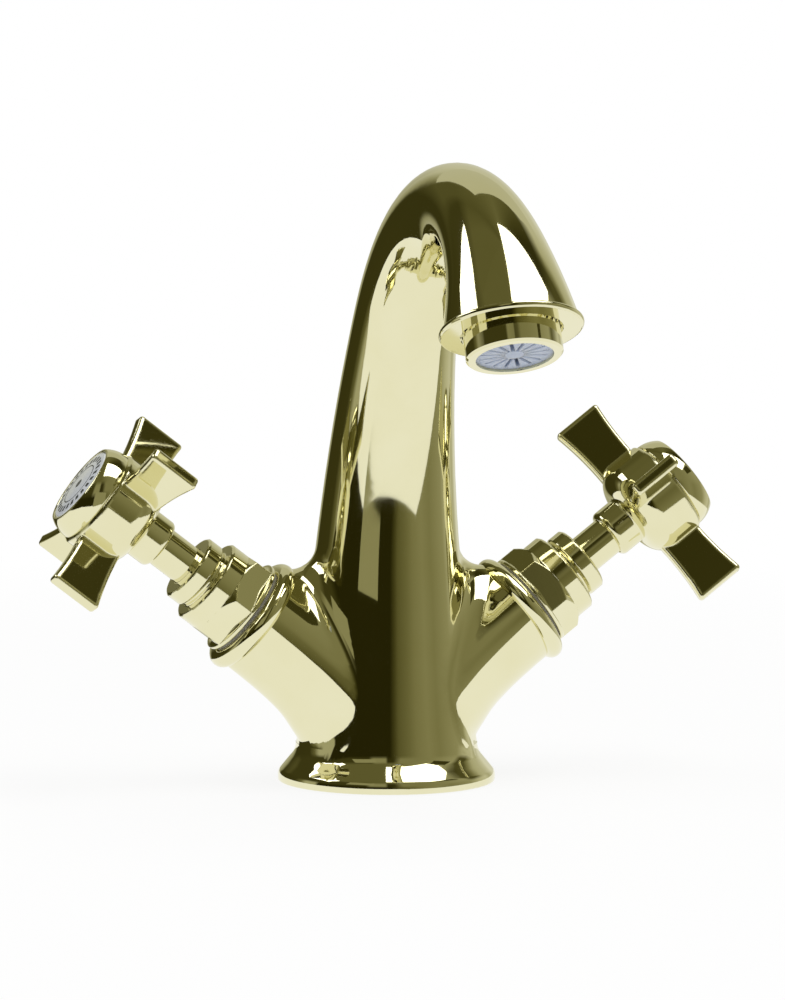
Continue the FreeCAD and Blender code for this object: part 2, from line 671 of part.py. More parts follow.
def blade():
    """One flat paddle of the cross handle, wider at its tip, with gently hollow edges."""
    root = HUB_RADIUS - BLADE_ROOT_DEPTH
    centre = HUB_BACK + BLADE_PLACE
    low_root = FreeCAD.Vector(root, -BLADE_THICKNESS / 2, centre - BLADE_ROOT_WIDTH / 2)
    low_tip = FreeCAD.Vector(BLADE_TIP, -BLADE_THICKNESS / 2, centre - BLADE_TIP_WIDTH / 2)
    high_tip = low_tip + Z * BLADE_TIP_WIDTH
    high_root = low_root + Z * BLADE_ROOT_WIDTH
    low_waist = (low_root + low_tip) * 0.5 + Z * BLADE_WAIST
    high_waist = (high_root + high_tip) * 0.5 - Z * BLADE_WAIST
    outline = Part.Wire(
        [
            Part.Arc(low_root, low_waist, low_tip).toShape(),
            Part.LineSegment(low_tip, high_tip).toShape(),
            Part.Arc(high_tip, high_waist, high_root).toShape(),
            Part.LineSegment(high_root, low_root).toShape(),
        ]
    )
    paddle = Part.Face(outline).extrude(Y * BLADE_THICKNESS)
    edges = [edge for edge in paddle.Edges if edge.BoundBox.XMax > root + BLADE_EDGE]
    return paddle.makeFillet(BLADE_EDGE, edges)


def handle(side):
    bend = math.radians(45)
    shoulder_end = HUB_BACK + HUB_SHOULDER
    shoulder_middle = (
        NECK_RADIUS + (HUB_RADIUS - NECK_RADIUS) * math.sin(bend),
        HUB_BACK + HUB_SHOULDER * (1 - math.cos(bend)),
    )
    neck_middle = (
        NECK_RADIUS - NECK_EDGE * (1 - math.sin(bend)),
        HANDLE_BACK + NECK_EDGE * (1 - math.cos(bend)),
    )
    shape = turned(
        (0, HANDLE_BACK),
        (NECK_RADIUS - NECK_EDGE, HANDLE_BACK),
        (neck_middle, (NECK_RADIUS, HANDLE_BACK + NECK_EDGE)),
        (NECK_RADIUS, HUB_BACK),
        (shoulder_middle, (HUB_RADIUS, shoulder_end)),
        (HUB_RADIUS, HUB_FRONT - HUB_EDGE),
        (HUB_RADIUS - HUB_EDGE, HUB_FRONT),
        (0, HUB_FRONT),
    )
    blades = []
    for i in range(BLADES):
        copy = blade()
        copy.rotate(ORIGIN, Z, HANDLE_TURN[side] + 360 * i / BLADES)
        blades.append(copy)
    shape = shape.fuse(blades)
    pocket = rod(INDEX_THREAD_RADIUS, HANDLE_POCKET, HUB_FRONT)
    socket = rod(SPINDLE_RADIUS + BROACH_CLEARANCE, HANDLE_BACK, SPINDLE_SHOULDER)
    hole = rod(SCREW_RADIUS + SCREW_CLEARANCE, SOCKET_TOP, HANDLE_POCKET)
    shape = shape.cut([pocket, socket, hole, broach(BROACH_CLEARANCE, SPINDLE_SHOULDER, SOCKET_TOP)])
    return on_valve(shape, side)


def handle_screw(side):
    top = HANDLE_POCKET + SCREW_HEAD
    shape = rod(SCREW_RADIUS, SPINDLE_TOP - SCREW_LENGTH, HANDLE_POCKET).fuse(
        rod(SCREW_HEAD_RADIUS, HANDLE_POCKET, top)
    )
    slot = Part.makeBox(
        2 * SCREW_HEAD_RADIUS,
        SCREW_SLOT,
        SCREW_HEAD / 2,
        FreeCAD.Vector(-SCREW_HEAD_RADIUS, -SCREW_SLOT / 2, top - SCREW_HEAD / 2),
    )
    return on_valve(shape.removeSplitter().cut(slot), side)


def index_ring(side):
    floor = INDEX_SEAT - INDEX_FLOOR
    bulge = ((INDEX_BASE_RADIUS + INDEX_TOP_RADIUS) / 2 + TRIM_EDGE, (HUB_FRONT + INDEX_FRONT) / 2)
    shape = turned(
        (INDEX_BORE_RADIUS, HUB_FRONT - INDEX_THREAD_LENGTH),
        (INDEX_THREAD_RADIUS, HUB_FRONT - INDEX_THREAD_LENGTH),
        (INDEX_THREAD_RADIUS, HUB_FRONT),
        (INDEX_BASE_RADIUS, HUB_FRONT),
        (bulge, (INDEX_TOP_RADIUS, INDEX_FRONT)),
        (INDEX_RECESS_RADIUS, INDEX_FRONT),
        (INDEX_RECESS_RADIUS, INDEX_SEAT),
        (0, INDEX_SEAT),
        (0, floor),
        (INDEX_BORE_RADIUS, floor),
    )
    return on_valve(shape, side)


def index_disc(side):
    """The porcelain button, with a face that is part of a large sphere."""
    flat = INDEX_DISC_RADIUS - TRIM_EDGE
    top = INDEX_FRONT + INDEX_DISC_CROWN
    ball_radius = (flat**2 + INDEX_DISC_CROWN**2) / (2 * INDEX_DISC_CROWN)
    blank = turned(
        (0, INDEX_SEAT),
        (INDEX_DISC_RADIUS, INDEX_SEAT),
        (INDEX_DISC_RADIUS, INDEX_FRONT - TRIM_EDGE),
        (flat, INDEX_FRONT),
        (flat, top),
        (0, top),
    )
    ball = Part.makeSphere(ball_radius, FreeCAD.Vector(0, 0, top - ball_radius))
    return on_valve(blank.common(ball), side)


def aerator_housing():
    lip_start = AERATOR_COLLAR_LENGTH - AERATOR_LIP
    shape = turned(
        (AERATOR_BORE_RADIUS, AERATOR_TOP),
        (AERATOR_THREAD_RADIUS, AERATOR_TOP),
        (AERATOR_THREAD_RADIUS, -MOUTH_RECESS),
        (AERATOR_COLLAR_RADIUS, -MOUTH_RECESS),
        (AERATOR_COLLAR_RADIUS, AERATOR_COLLAR_LENGTH - TRIM_EDGE),
        (AERATOR_COLLAR_RADIUS - TRIM_EDGE, AERATOR_COLLAR_LENGTH),
        (AERATOR_LIP_RADIUS, AERATOR_COLLAR_LENGTH),
        (AERATOR_LIP_RADIUS, lip_start),
        (AERATOR_BORE_RADIUS, lip_start),
    )
    return at_mouth(shape)


def aerator_insert():
    """The flow straightener: a drum whose face is cut into spokes between a hub and a rim."""
    radius = AERATOR_BORE_RADIUS - INSERT_CLEARANCE
    face = AERATOR_COLLAR_LENGTH - AERATOR_LIP
    shape = rod(radius, AERATOR_TOP + AERATOR_SCREEN, face)
    reach = AERATOR_LIP_RADIUS - INSERT_RIM - INSERT_HUB_RADIUS
    slots = []
    for i in range(INSERT_SPOKES):
        slot = Part.makeBox(
            reach,
            INSERT_SLOT_WIDTH,
            INSERT_SLOT_DEPTH,
            FreeCAD.Vector(INSERT_HUB_RADIUS, -INSERT_SLOT_WIDTH / 2, face - INSERT_SLOT_DEPTH),
        )
        slot.rotate(ORIGIN, Z, 360 * i / INSERT_SPOKES)
        slots.append(slot)
    return at_mouth(shape.cut(slots))


def aerator_screen():
    radius = AERATOR_BORE_RADIUS - INSERT_CLEARANCE
    return at_mouth(rod(radius, AERATOR_TOP, AERATOR_TOP + AERATOR_SCREEN))


def aerator_washer():
    return at_mouth(tube(AERATOR_THREAD_RADIUS, AERATOR_WASHER_BORE, -AERATOR_BORE_DEPTH, AERATOR_TOP))


def build():
    parts = {
        "body_casting": body_casting(),
        "base_seal": base_seal(),
        "aerator_housing": aerator_housing(),
        "aerator_insert": aerator_insert(),
        "aerator_screen": aerator_screen(),
        "aerator_washer": aerator_washer(),
    }
    valve_pieces = (
        bonnet,
        bonnet_washer,
        gland_nut,
        seat_seal,
        fixed_disc,
        moving_disc,
        spindle,
        spindle_rings,
        circlip,
        handle,
        handle_screw,
        index_ring,
        index_disc,
    )
    for side in SIDES:
        for piece in valve_pieces:
            parts[f"{side}_{piece.__name__}"] = piece(side)
    return parts


if __name__ == "__main__":
    os.makedirs("parts", exist_ok=True)
    for name, shape in build().items():
        shape.exportStep(f"parts/{name}.step")
        print(name, shape.isValid(), len(shape.Solids), round(shape.Volume, 1))
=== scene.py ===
# %% [markdown]
# # A pale gold basin mixer
# The solids of this tap already stand at their real size and place. This lesson lights them,
# gives every piece the finish that it has on the bench, and adds the details that are too fine
# for the solids: the enamel marks on the porcelain buttons and the screw threads underneath.
# Nothing that comes from the frame is moved. It is loaded first, so that later cells can measure it.

# %% Load the frame
import json
import math

import bmesh
import bpy
import numpy as np
from mathutils import Matrix, Vector


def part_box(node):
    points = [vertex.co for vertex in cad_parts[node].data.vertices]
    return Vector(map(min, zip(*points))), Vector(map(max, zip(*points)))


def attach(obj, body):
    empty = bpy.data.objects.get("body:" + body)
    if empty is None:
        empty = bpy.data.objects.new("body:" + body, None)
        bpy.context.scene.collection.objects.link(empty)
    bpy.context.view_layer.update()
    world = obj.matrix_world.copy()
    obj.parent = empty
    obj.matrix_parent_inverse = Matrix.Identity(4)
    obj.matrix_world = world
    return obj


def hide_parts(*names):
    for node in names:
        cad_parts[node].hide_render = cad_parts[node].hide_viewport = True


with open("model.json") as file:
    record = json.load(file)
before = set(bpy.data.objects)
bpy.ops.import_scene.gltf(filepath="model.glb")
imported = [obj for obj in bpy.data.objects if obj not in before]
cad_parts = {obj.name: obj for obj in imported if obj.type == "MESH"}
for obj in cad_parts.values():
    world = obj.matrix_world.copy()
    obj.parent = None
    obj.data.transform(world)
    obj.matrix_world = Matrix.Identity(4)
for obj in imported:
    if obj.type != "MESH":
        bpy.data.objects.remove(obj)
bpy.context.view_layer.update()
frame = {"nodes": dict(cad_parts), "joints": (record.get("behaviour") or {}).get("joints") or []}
nodes = frame["nodes"]

# %% [markdown]
# ## The viewpoint
# The tap is seen from a little to the left of its front and from just above its handles. The two
# handles come out almost equally large, so the lens is long and stands about a metre away. A camera
# can be turned by angles or tracked to a target. Here its three axes are worked out as vectors,
# because a tilt of a fraction of a degree is then one more rotation about the line of sight.

# %% Place the camera
AIM = Vector((0.00134, 0.0, 0.0703))
VIEW_AZIMUTH = math.radians(-15.844)
VIEW_ELEVATION = math.radians(4.575)
VIEW_ROLL = math.radians(0.2)
VIEW_DISTANCE = 1.04625
LENS_MM = 150.65


def direction(azimuth, elevation):
    """A unit vector from the tap: azimuth 0 is the front, and +90 degrees is the cold side."""
    level = Vector((math.sin(azimuth), -math.cos(azimuth), 0)) * math.cos(elevation)
    return level + Vector((0, 0, math.sin(elevation)))


back = direction(VIEW_AZIMUTH, VIEW_ELEVATION)
level = Vector((math.cos(VIEW_AZIMUTH), math.sin(VIEW_AZIMUTH), 0))
right = Matrix.Rotation(VIEW_ROLL, 3, back) @ level
up = back.cross(right)
camera = bpy.data.objects.new("front_camera", bpy.data.cameras.new("front_camera"))
camera.data.lens = LENS_MM
turn = Matrix((right, up, back)).transposed().to_4x4()
camera.matrix_world = Matrix.Translation(AIM + back * VIEW_DISTANCE) @ turn
scene = bpy.context.scene
scene.collection.objects.link(camera)
scene.camera = camera
scene.view_settings.view_transform = "Standard"
print("camera at", [round(v, 3) for v in camera.location])

# %% [markdown]
# ## Small tools for nodes and meshes
# Every finish below is a handful of shader nodes. One helper adds a node, sets its options and
# feeds its sockets with values or links, so that a material reads as a list of what it is made of.
# Another turns a bmesh into an object whose place is in its mesh.

# %% Node and mesh helpers
MIX_COLOURS = (6, 7)
MIX_RESULT = 2


def add(tree, kind, *feeds, options=None, **named):
    """Add a shader node. Feeds go to its sockets in order, and named ones by name."""
    made = tree.nodes.new("ShaderNode" + kind)
    for name, value in (options or {}).items():
        setattr(made, name, value)
    pairs = list(zip(made.inputs, feeds))
    pairs += [(made.inputs[name.replace("_", " ")], value) for name, value in named.items()]
    for socket, value in pairs:
        if isinstance(value, bpy.types.NodeSocket):
            tree.links.new(value, socket)
        else:
            socket.default_value = value
    return made


def maths(tree, operation, *feeds):
    """One step of arithmetic."""
    return add(tree, "Math", *feeds, options={"operation": operation}).outputs[0]


def blend_colours(tree, factor, first, second):
    """Fade from the first colour to the second. A mix node has its colours on numbered sockets."""
    mix = add(tree, "Mix", factor, options={"data_type": "RGBA"})
    for number, colour in zip(MIX_COLOURS, (first, second)):
        tree.links.new(colour, mix.inputs[number])
    return mix.outputs[MIX_RESULT]


def ramp(tree, factor, stops):
    """A colour ramp through (position, colour) stops."""
    made = add(tree, "ValToRGB", factor)
    elements = made.color_ramp.elements
    while len(elements) < len(stops):
        elements.new(1.0)
    for element, (position, colour) in zip(elements, stops):
        element.position = position
        element.color = (*colour, 1.0)
    return made.outputs[0]


def bare_material(name):
    """A material whose node tree holds only its output."""
    material = bpy.data.materials.new(name)
    material.use_nodes = True
    tree = material.node_tree
    tree.nodes.clear()
    return material, tree, tree.nodes.new("ShaderNodeOutputMaterial")


def mesh_object(name, bm, material):
    """An object in the scene, made from a bmesh that is used up."""
    mesh = bpy.data.meshes.new(name)
    bm.to_mesh(mesh)
    bm.free()
    mesh.materials.append(material)
    made = bpy.data.objects.new(name, mesh)
    scene.collection.objects.link(made)
    return made


# %% [markdown]
# ## Floor and backdrop
# The tap stands on a plain pale floor against white. A floor lit until it turns white would throw
# far too much light on the metal, so the white comes from the floor's own material: a ray from the
# camera finds mostly a white of strength 1, and the rest is ordinary diffuse paint that still takes
# the tap's soft shadow. Further out the paint fades away, so the floor meets the white world without
# a horizon. Reflections don't see this floor. They get a table top of their own.

# %% Make the floor and the world
FLOOR_SIZE = 6.0
FLOOR_DROP = 0.0002
FLOOR_PAINT = (0.88, 0.88, 0.87, 1.0)
FLOOR_WHITE_SHARE = 0.85
FADE_START = 0.15
FADE_END = 0.6
FILL_LIGHT = 0.62
WHITE = (1.0, 1.0, 1.0, 1.0)


def seen_rays(tree):
    """1 for camera, glossy and transmission rays, and 0 for the diffuse rays that light the tap."""
    path = add(tree, "LightPath").outputs
    both = maths(tree, "MAXIMUM", path["Is Camera Ray"], path["Is Glossy Ray"])
    return maths(tree, "MAXIMUM", both, path["Is Transmission Ray"])


def floor_paint():
    """Diffuse paint under a white that grows with the distance from the tap."""
    material, tree, output = bare_material("floor_paint")
    place = add(tree, "TexCoord").outputs["Object"]
    distance = add(tree, "VectorMath", place, options={"operation": "LENGTH"}).outputs["Value"]
    share = add(
        tree,
        "MapRange",
        Value=distance,
        From_Min=FADE_START,
        From_Max=FADE_END,
        To_Min=FLOOR_WHITE_SHARE,
        To_Max=1.0,
    )
    factor = maths(tree, "MULTIPLY", seen_rays(tree), share.outputs[0])
    paint = add(tree, "BsdfDiffuse", Color=FLOOR_PAINT)
    white = add(tree, "Emission", Strength=1.0)
    mix = add(tree, "MixShader", factor, paint.outputs[0], white.outputs[0])
    tree.links.new(mix.outputs[0], output.inputs["Surface"])
    material.cycles.emission_sampling = "NONE"
    return material


def rectangle(name, low, high, height, material):
    """A flat stage sheet between two (x, y) corners."""
    bm = bmesh.new()
    bmesh.ops.create_grid(bm, x_segments=1, y_segments=1, size=0.5)
    bmesh.ops.scale(bm, vec=(high[0] - low[0], high[1] - low[1], 1), verts=bm.verts)
    middle = Vector(((low[0] + high[0]) / 2, (low[1] + high[1]) / 2, height))
    bmesh.ops.translate(bm, vec=middle, verts=bm.verts)
    sheet = mesh_object(name, bm, material)
    return sheet


half = FLOOR_SIZE / 2
floor = rectangle("floor", (-half, -half), (half, half), -FLOOR_DROP, floor_paint())
floor.visible_glossy = False

world = bpy.data.worlds.new("white_room")
scene.world = world
world.use_nodes = True
tree = world.node_tree
tree.nodes.clear()
fill = add(tree, "Background", Color=WHITE, Strength=FILL_LIGHT)
white = add(tree, "Background", Color=WHITE, Strength=1.0)
mix = add(tree, "MixShader", seen_rays(tree), fill.outputs[0], white.outputs[0])
tree.links.new(mix.outputs[0], tree.nodes.new("ShaderNodeOutputWorld").inputs["Surface"])
print("floor", FLOOR_SIZE, "m wide, fill light", FILL_LIGHT)

# %% [markdown]
# ## What the polish reflects
# Polished plate has almost no colour of its own: what the eye sees is the studio. A product
# photographer builds that on purpose, with a small white table, dark cloths for the deep bands that
# draw the shape, grey cards between them and two softboxes for the sparkle. Most of it can be a dome
# round the tap, which is easy to tune: three belts of elevation, each with cards named by azimuth and
# brightness. Two cloths hang before the dome where a belt is too coarse, and one grey card stands
# close by, so that the front of the trunk mirrors it as a short strip. All these are seen by
# reflections only. The softboxes are real lamps.

# %% Paint the dome
DOME_RADIUS = 3.0
DOME_CENTRE = Vector((0, 0, 0.07))
DOME_SEGMENTS = 48
DOME_RINGS = 24
HORIZON_CARDS = [
    (-180, 0.35), (-172, 0.3), (-168, 0.04), (-128, 0.045), (-118, 0.13), (-110, 0.4), (-97, 0.4),
    (-93, 0.02), (-11, 0.02), (-5, 0.06), (0, 0.11), (14, 0.16), (24, 0.21), (40, 0.25), (56, 0.22),
    (84, 0.3), (100, 0.5), (115, 0.6), (125, 0.45), (140, 0.75), (165, 0.6), (180, 0.45),
]
SHOULDER_CARDS = [
    (-180, 0.52), (-172, 0.3), (-166, 0.09), (-156, 0.09), (-150, 0.05), (-38, 0.05), (-33, 0.26),
    (-17, 0.26), (-14, 0.03), (-6, 0.04), (3, 0.22), (25, 0.22), (60, 0.27), (84, 0.33), (93, 0.08),
    (104, 0.08), (110, 0.22), (117, 0.45), (135, 0.6), (170, 0.58), (180, 0.52),
]
OVERHEAD_CARDS = [
    (-180, 0.12), (-150, 0.09), (-130, 0.12), (-20, 0.125), (10, 0.2), (80, 0.3), (88, 0.03),
    (110, 0.035), (125, 0.06), (140, 0.1), (160, 0.14), (180, 0.12),
]
SHOULDER_BELT = (10.0, 22.0)
OVERHEAD_BELT = (39.0, 50.0)
OLIVE_POWERS = (1.0, 1.03, 1.5)


def olive(brightness):
    """Cloth and card of that brightness. The darker it is, the less blue it keeps."""
    return tuple(brightness**power for power in OLIVE_POWERS)


def card_belt(tree, around, cards):
    """A ramp round the dome. The radial gradient starts a quarter turn before the front."""
    stops = []
    for azimuth, brightness in cards:
        stops.append((((azimuth + 90) % 360) / 360, olive(brightness)))
    return ramp(tree, around, sorted(stops))


def dome_paint():
    """The horizon's cards, faded into those of the higher belts by the sine of the elevation."""
    material, tree, output = bare_material("dome_cards")
    place = add(tree, "TexCoord").outputs["Object"]
    around = add(tree, "TexGradient", place, options={"gradient_type": "RADIAL"}).outputs[1]
    unit = add(tree, "VectorMath", place, options={"operation": "NORMALIZE"}).outputs[0]
    height = add(tree, "SeparateXYZ", unit).outputs["Z"]
    colour = card_belt(tree, around, HORIZON_CARDS)
    for cards, belt in ((SHOULDER_CARDS, SHOULDER_BELT), (OVERHEAD_CARDS, OVERHEAD_BELT)):
        low, high = [math.sin(math.radians(edge)) for edge in belt]
        factor = add(tree, "MapRange", Value=height, From_Min=low, From_Max=high).outputs[0]
        colour = blend_colours(tree, factor, colour, card_belt(tree, around, cards))
    glow = add(tree, "Emission", Color=colour, Strength=1.0)
    tree.links.new(glow.outputs[0], output.inputs["Surface"])
    material.cycles.emission_sampling = "NONE"
    return material


def reflections_only(item):
    """Hide a stage piece from everything but mirrors."""
    item.visible_camera = False
    item.visible_diffuse = False
    item.visible_transmission = False
    item.visible_shadow = False


bm = bmesh.new()
bmesh.ops.create_uvsphere(bm, u_segments=DOME_SEGMENTS, v_segments=DOME_RINGS, radius=DOME_RADIUS)
dome = mesh_object("studio_dome", bm, dome_paint())
dome.location = DOME_CENTRE
reflections_only(dome)
print("cards:", len(HORIZON_CARDS) + len(SHOULDER_CARDS) + len(OVERHEAD_CARDS))

# %% Lay the table top and hang the panels
TABLE_LOW = (-0.47, -0.335)
TABLE_HIGH = (0.25, 0.17)
TABLE_TURN = math.radians(-7)
TABLE_WHITE = (0.97, 0.97, 0.97)
CLOTH_DISTANCE = 2.7
DARK_CORNERS = [(52, 33), (80, 33), (80, 45), (52, 45)]
DARK_BRIGHTNESS = 0.045
PALE_CORNERS = [(-167, 24), (125, 30), (128, 46), (145, 53), (168, 58), (-170, 57)]
PALE_BRIGHTNESS = 0.52
GREY_CORNERS = [
    (-0.1025, -0.0665, 0.0556),
    (-0.0588, -0.1079, 0.0522),
    (-0.0588, -0.1079, 0.1),
    (-0.1025, -0.0665, 0.1),
]
GREY_BRIGHTNESS = 0.28


def card_paint(name, colour):
    """A flat colour that doesn't depend on the light."""
    material, tree, output = bare_material(name)
    glow = add(tree, "Emission", Color=(*colour, 1.0))
    tree.links.new(glow.outputs[0], output.inputs["Surface"])
    material.cycles.emission_sampling = "NONE"
    return material


def panel(name, corners, brightness):
    """A flat panel that only reflections see."""
    bm = bmesh.new()
    bm.faces.new([bm.verts.new(corner) for corner in corners])
    made = mesh_object(name, bm, card_paint(name, olive(brightness)))
    reflections_only(made)


def far_corners(corners):
    """Points before the dome, from their azimuth and elevation."""
    aims = [direction(math.radians(azimuth), math.radians(elevation)) for azimuth, elevation in corners]
    return [DOME_CENTRE + aim * CLOTH_DISTANCE for aim in aims]


panel("dark_cloth", far_corners(DARK_CORNERS), DARK_BRIGHTNESS)
panel("pale_cloth", far_corners(PALE_CORNERS), PALE_BRIGHTNESS)
panel("grey_card", GREY_CORNERS, GREY_BRIGHTNESS)
table = rectangle("table_top", TABLE_LOW, TABLE_HIGH, -FLOOR_DROP, card_paint("table_top", TABLE_WHITE))
table.rotation_euler.z = TABLE_TURN
reflections_only(table)
print("table top from", TABLE_LOW, "to", TABLE_HIGH)

# %% Light the softboxes
SOFTBOX_RADIANCE = 3.0
OVERHEAD_PLACE = Vector((0.40, -0.33, 1.1))
OVERHEAD_AIM = Vector((0.40, -0.33, 0.0))
OVERHEAD_SIZE = (0.96, 0.70)
OVERHEAD_SPIN = math.radians(-16)
SPOUT_HEAD = Vector((-0.005, -0.105, 0.125))
BACK_DISTANCE = 0.5
BACK_PLACE = SPOUT_HEAD + direction(math.radians(-117), math.radians(32.5)) * BACK_DISTANCE
BACK_SIZE = (0.33, 0.165)


def softbox(name, place, size, aim, spin=0.0):
    """A lamp whose face has the same brightness whatever its size."""
    width, height = size
    lamp = bpy.data.lights.new(name, "AREA")
    lamp.shape = "RECTANGLE"
    lamp.size = width
    lamp.size_y = height
    lamp.energy = SOFTBOX_RADIANCE * math.pi * width * height
    box = bpy.data.objects.new(name, lamp)
    box.location = place
    aimed = (aim - place).to_track_quat("-Z", "Y").to_matrix()
    box.rotation_euler = (aimed @ Matrix.Rotation(spin, 3, "Z")).to_euler()
    box.visible_camera = False
    scene.collection.objects.link(box)
    print(name, round(lamp.energy, 2), "W")


softbox("overhead_softbox", OVERHEAD_PLACE, OVERHEAD_SIZE, OVERHEAD_AIM, OVERHEAD_SPIN)
softbox("back_softbox", BACK_PLACE, BACK_SIZE, SPOUT_HEAD)

# %% [markdown]
# ## Finishes that several pieces share
# Plated brass is polished on a soft wheel. That leaves a faint haze in clouds, and a surface that
# swells by a few thousandths of a millimetre under the plate. Pieces that come off a lathe
# also keep very fine rings round their axis. Both effects are node groups, built once, and each
# finish places them with its own values.

# %% Build the shared groups
CLOUD_RANGE = (0.3, 0.7)


def new_group(name, inputs, outputs):
    """An empty node group with float inputs, given with their defaults, and float outputs."""
    group = bpy.data.node_groups.new(name, "ShaderNodeTree")
    group.interface.new_socket("Vector", in_out="INPUT", socket_type="NodeSocketVector")
    for label, value in inputs.items():
        socket = group.interface.new_socket(label, in_out="INPUT", socket_type="NodeSocketFloat")
        socket.default_value = value
    for label in outputs:
        group.interface.new_socket(label, in_out="OUTPUT", socket_type="NodeSocketFloat")
    return group, group.nodes.new("NodeGroupInput").outputs, group.nodes.new("NodeGroupOutput").inputs


def wheel_polish_group():
    """Clouds of haze, a roughness that follows them and a shallow swell of the surface."""
    inputs = {"Cloud scale": 60.0, "Swell scale": 240.0, "Bright": 0.03, "Hazy": 0.07}
    group, given, results = new_group("wheel_polish", inputs, ["Cloud", "Roughness", "Swell"])
    clouds = add(group, "TexNoise", Vector=given["Vector"], Scale=given["Cloud scale"], Detail=4.0)
    swell = add(group, "TexNoise", Vector=given["Vector"], Scale=given["Swell scale"], Detail=1.0)
    haze = add(
        group,
        "MapRange",
        Value=clouds.outputs[0],
        From_Min=CLOUD_RANGE[0],
        From_Max=CLOUD_RANGE[1],
        To_Min=given["Bright"],
        To_Max=given["Hazy"],
    )
    group.links.new(clouds.outputs[0], results["Cloud"])
    group.links.new(haze.outputs[0], results["Roughness"])
    group.links.new(swell.outputs[0], results["Swell"])
    return group


def lathe_rings_group():
    """Fine rings round the Z axis, along the length of a turned piece and across its end faces."""
    group, given, results = new_group("lathe_rings", {"Rings per metre": 5000.0}, ["Rings"])
    parts = add(group, "SeparateXYZ", given["Vector"]).outputs
    across = add(group, "CombineXYZ", parts["X"], parts["Y"], 0.0).outputs[0]
    radius = add(group, "VectorMath", across, options={"operation": "LENGTH"}).outputs["Value"]
    place = maths(group, "ADD", parts["Z"], radius)
    fine = {"noise_dimensions": "1D"}
    rings = add(group, "TexNoise", W=place, Scale=given["Rings per metre"], Detail=2.0, options=fine)
    group.links.new(rings.outputs[0], results["Rings"])
    return group


def place_group(tree, group, **named):
    """Place a node group and feed its sockets by name."""
    return add(tree, "Group", options={"node_tree": group}, **named).outputs


WHEEL_POLISH = wheel_polish_group()
LATHE_RINGS = lathe_rings_group()
print("groups:", WHEEL_POLISH.name, LATHE_RINGS.name)

# %% [markdown]
# ## Gold plate
# The visible metal is brass under a pale, slightly green gold. It is a mirror, so its material is
# fully metallic with a low roughness, and its colour is the tint of the mirror. The casting, the
# turned trim and the die-cast handles carry the same plate and differ in how they were worked.
# Polishing rounds the small edges of handles and trim, and each edge then catches a bright line. A
# geometric bevel would do the same with many more faces, so here the shading alone is rounded.
# The rings of the trim have to lie round each valve's own axis, which the joints give.

# %% Mix the gold finishes
GOLD_PALE = (0.83, 0.80, 0.545)
GOLD_DEEP = (0.80, 0.765, 0.49)
GOLD_STOPS = [(0.25, GOLD_PALE), (0.75, GOLD_DEEP)]
SWELL_DEPTH = 0.000004
RING_DEPTH = 0.0000015
HANDLE_EDGE = 0.0009
TRIM_EDGE = 0.0005
EDGE_SAMPLES = 8


def valve_axes():
    """The point and the outward direction of each valve's axis."""
    axes = {}
    for joint in frame["joints"]:
        side = joint["name"].split("_")[0]
        point = Vector(joint["pos_m"])
        axis = Vector(joint["axis"])
        low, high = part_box(f"{side}_index_disc")
        if axis.dot((low + high) / 2 - point) < 0:
            axis.negate()
        axes[side] = (point, axis)
    return axes


def along_axis(tree, point, axis):
    """Object coordinates turned so that Z runs along an axis through a point."""
    turned = axis.to_track_quat("Z", "Y").to_euler()
    place = add(tree, "TexCoord").outputs["Object"]
    options = {"vector_type": "TEXTURE"}
    return add(tree, "Mapping", place, Location=point, Rotation=turned, options=options).outputs[0]


def gold_plate(name, axis=None, bright=0.03, hazy=0.06, edge_round=0.0):
    """Polished plate, with softened edges and with lathe rings about an axis where these are given."""
    material, tree, output = bare_material(name)
    place = add(tree, "TexCoord").outputs["Object"]
    polish = place_group(tree, WHEEL_POLISH, Vector=place, Bright=bright, Hazy=hazy)
    colour = ramp(tree, polish["Cloud"], GOLD_STOPS)
    swell = add(tree, "Bump", Height=polish["Swell"], Distance=SWELL_DEPTH, Strength=1.0)
    normal = swell.outputs[0]
    if edge_round:
        softened = add(tree, "Bevel", Radius=edge_round, options={"samples": EDGE_SAMPLES})
        tree.links.new(softened.outputs[0], swell.inputs["Normal"])
    if axis:
        lines = place_group(tree, LATHE_RINGS, Vector=along_axis(tree, *axis))["Rings"]
        rings = add(tree, "Bump", Height=lines, Distance=RING_DEPTH, Strength=1.0, Normal=normal)
        normal = rings.outputs[0]
    plate = add(
        tree,
        "BsdfPrincipled",
        Base_Color=colour,
        Metallic=1.0,
        Roughness=polish["Roughness"],
        Normal=normal,
    )
    tree.links.new(plate.outputs[0], output.inputs["Surface"])
    return material


AXES = valve_axes()
finishes = {"gold_casting": gold_plate("gold_casting_plate")}
for side, axis in AXES.items():
    finishes[f"{side}_gold_trim"] = gold_plate(f"{side}_trim_plate", axis, edge_round=TRIM_EDGE)
    finishes[f"{side}_gold_handle"] = gold_plate(f"{side}_handle_plate", hazy=0.05, edge_round=HANDLE_EDGE)
    finishes[f"{side}_brass_spindle"] = gold_plate(f"{side}_spindle_plate", axis, hazy=0.08)
print("gold finishes:", sorted(finishes))
print("axes:", {side: tuple(axis) for side, (_, axis) in AXES.items()})

# %% [markdown]
# ## Everything that isn't gold
# The index buttons are glazed porcelain, a cool white under a clear coat. The flow straightener is
# moulded in milky, pale blue-grey plastic that lets some light in. The valve discs are lapped
# ceramic, the screws and clips stainless steel, and the seals black rubber. The washers get a dark
# grey that is painted shade, standing for the shade in the narrow gaps where they sit. Most of these
# are out of sight when the tap is whole, but they show when it comes apart, so each gets a finish
# with its own grain.

# %% Mix the other finishes
SPECKLE_STOPS = (0.35, 0.65)
GRAINS_PER_SPECKLE = 4
COAT_ROUGHNESS = 0.02
MILKY_DEPTH = 0.003


